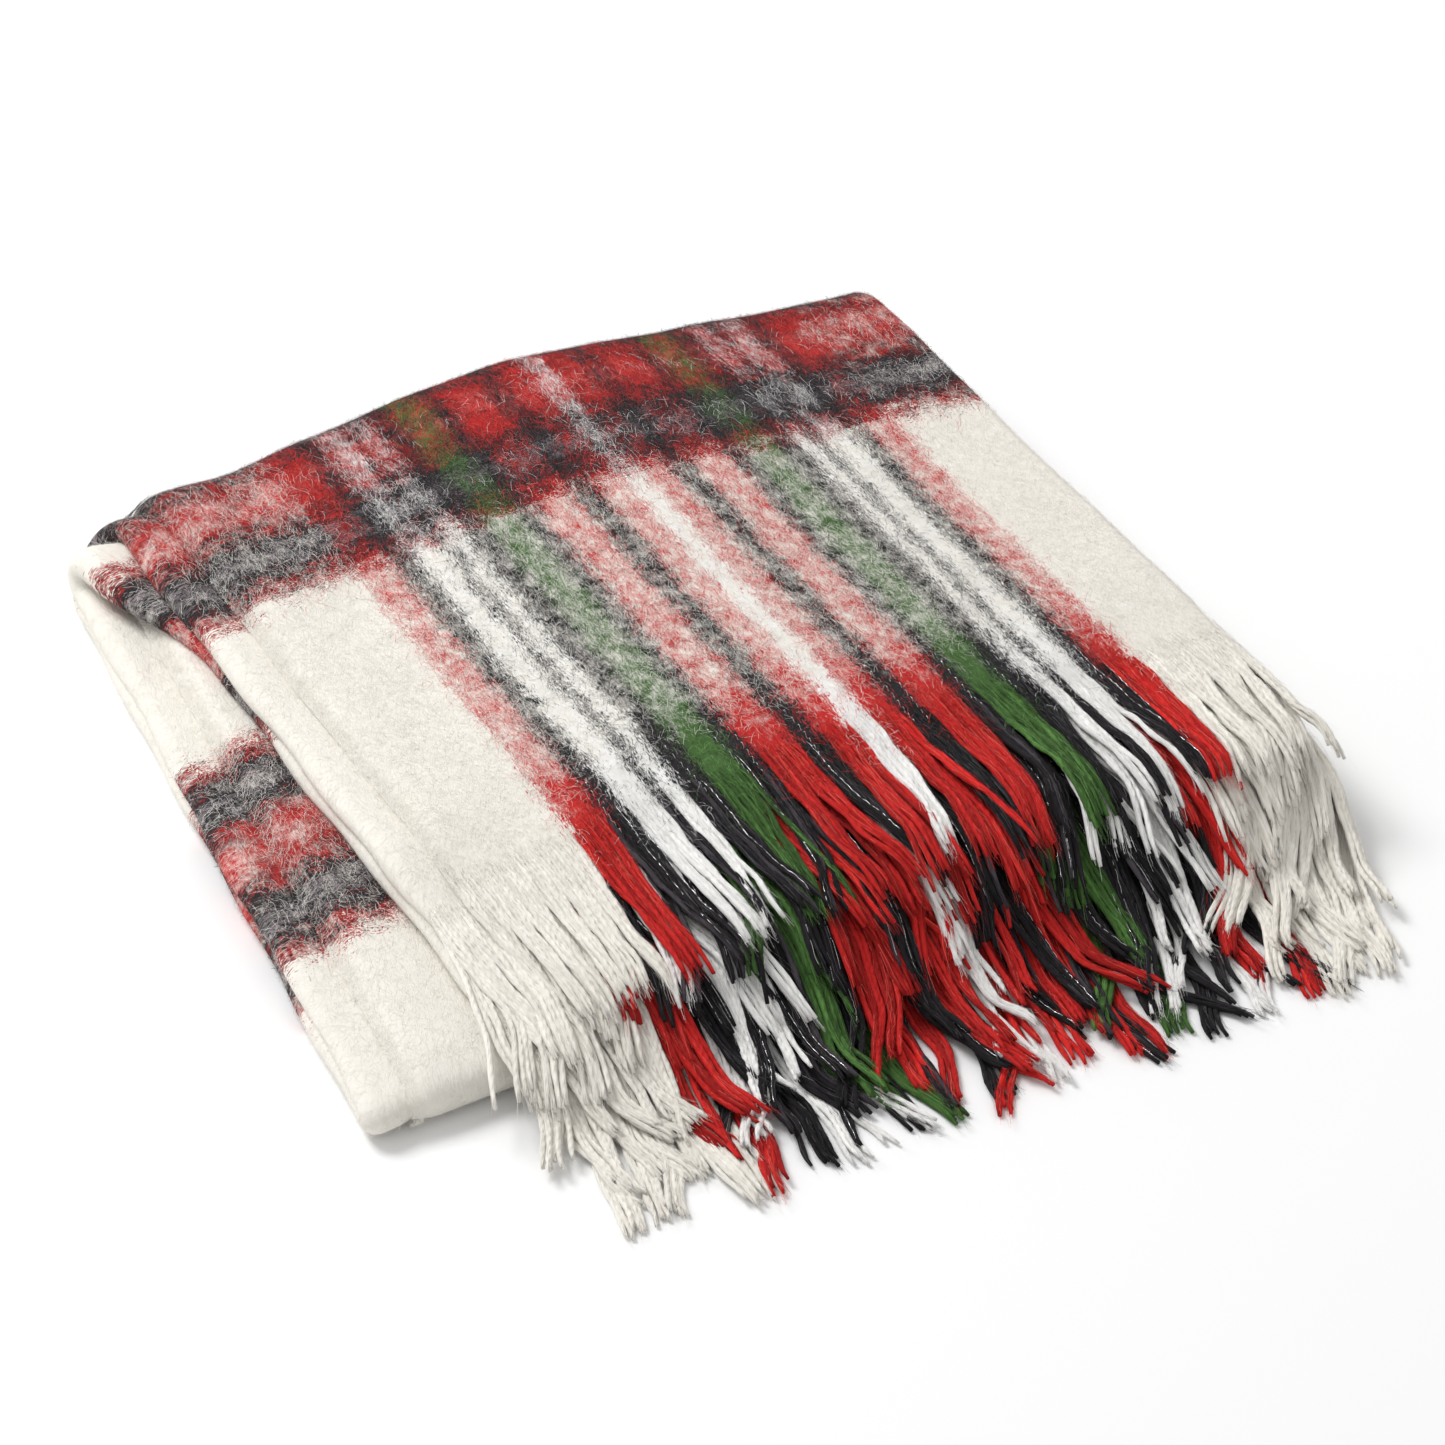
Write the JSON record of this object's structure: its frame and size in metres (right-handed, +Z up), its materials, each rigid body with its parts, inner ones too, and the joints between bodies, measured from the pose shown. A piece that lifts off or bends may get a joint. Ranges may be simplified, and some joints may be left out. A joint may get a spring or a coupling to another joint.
{
  "type": "folded throw blanket",
  "caption": "Soft brushed plaid throw, folded in three across and in four along its length, with the yarn fringe of both ends spilling from the front of the upper half.",
  "frame": {"origin": "middle of the folded pack's footprint, fringe included, on the surface it lies on", "axes": "+Z up; +X along the weft, across the folded pack; the rounded ridge fold lies at +Y and the fringe at -Y"},
  "size_m": [0.5162, 0.5908, 0.0738],
  "materials": {
    "plaid_cloth": "brushed woven wool-like cloth, cream ground with a red, black, white and green plaid",
    "cream_yarn": "soft twisted yarn, cream",
    "red_yarn": "soft twisted yarn, red",
    "black_yarn": "soft twisted yarn, black, with a fine silver metallic thread",
    "white_yarn": "soft twisted yarn, white",
    "green_yarn": "soft twisted yarn, green"
  },
  "bodies": {
    "root": {"fringe_lower_inner_cream_1": "cream_yarn", "fringe_lower_inner_cream_2": "cream_yarn", "fringe_lower_inner_green_1": "green_yarn", "fringe_lower_inner_green_2": "green_yarn", "fringe_lower_inner_red_1": "red_yarn", "fringe_lower_inner_white_1": "white_yarn", "fringe_lower_inner_white_2": "white_yarn", "fringe_lower_middle_cream_1": "cream_yarn", "fringe_lower_middle_cream_2": "cream_yarn", "fringe_lower_middle_green_1": "green_yarn", "fringe_lower_middle_green_2": "green_yarn", "fringe_lower_middle_red_1": "red_yarn", "fringe_lower_middle_white_1": "white_yarn", "fringe_lower_middle_white_2": "white_yarn", "fringe_lower_top_cream_1": "cream_yarn", "fringe_lower_top_cream_2": "cream_yarn", "fringe_lower_top_green_1": "green_yarn", "fringe_lower_top_green_2": "green_yarn", "fringe_lower_top_red_1": "red_yarn", "fringe_lower_top_white_1": "white_yarn", "fringe_lower_top_white_2": "white_yarn", "fringe_upper_inner_cream_1": "cream_yarn", "fringe_upper_inner_cream_2": "cream_yarn", "fringe_upper_inner_green_1": "green_yarn", "fringe_upper_inner_green_2": "green_yarn", "fringe_upper_inner_red_1": "red_yarn", "fringe_upper_inner_white_1": "white_yarn", "fringe_upper_inner_white_2": "white_yarn", "fringe_upper_middle_cream_1": "cream_yarn", "fringe_upper_middle_cream_2": "cream_yarn", "fringe_upper_middle_green_1": "green_yarn", "fringe_upper_middle_green_2": "green_yarn", "fringe_upper_middle_red_1": "red_yarn", "fringe_upper_middle_white_1": "white_yarn", "fringe_upper_middle_white_2": "white_yarn", "fringe_upper_top_black_1": "black_yarn", "fringe_upper_top_black_2": "black_yarn", "fringe_upper_top_black_3": "black_yarn", "fringe_upper_top_black_4": "black_yarn", "fringe_upper_top_black_5": "black_yarn", "fringe_upper_top_black_6": "black_yarn", "fringe_upper_top_black_7": "black_yarn", "fringe_upper_top_black_8": "black_yarn", "fringe_upper_top_cream_1": "cream_yarn", "fringe_upper_top_cream_2": "cream_yarn", "fringe_upper_top_green_1": "green_yarn", "fringe_upper_top_green_2": "green_yarn", "fringe_upper_top_red_1": "red_yarn", "fringe_upper_top_red_2": "red_yarn", "fringe_upper_top_red_3": "red_yarn", "fringe_upper_top_red_4": "red_yarn", "fringe_upper_top_red_5": "red_yarn", "fringe_upper_top_red_6": "red_yarn", "fringe_upper_top_white_1": "white_yarn", "fringe_upper_top_white_2": "white_yarn", "fringe_upper_top_white_3": "white_yarn", "woven_cloth": "plaid_cloth"}
  },
  "joints": []
}
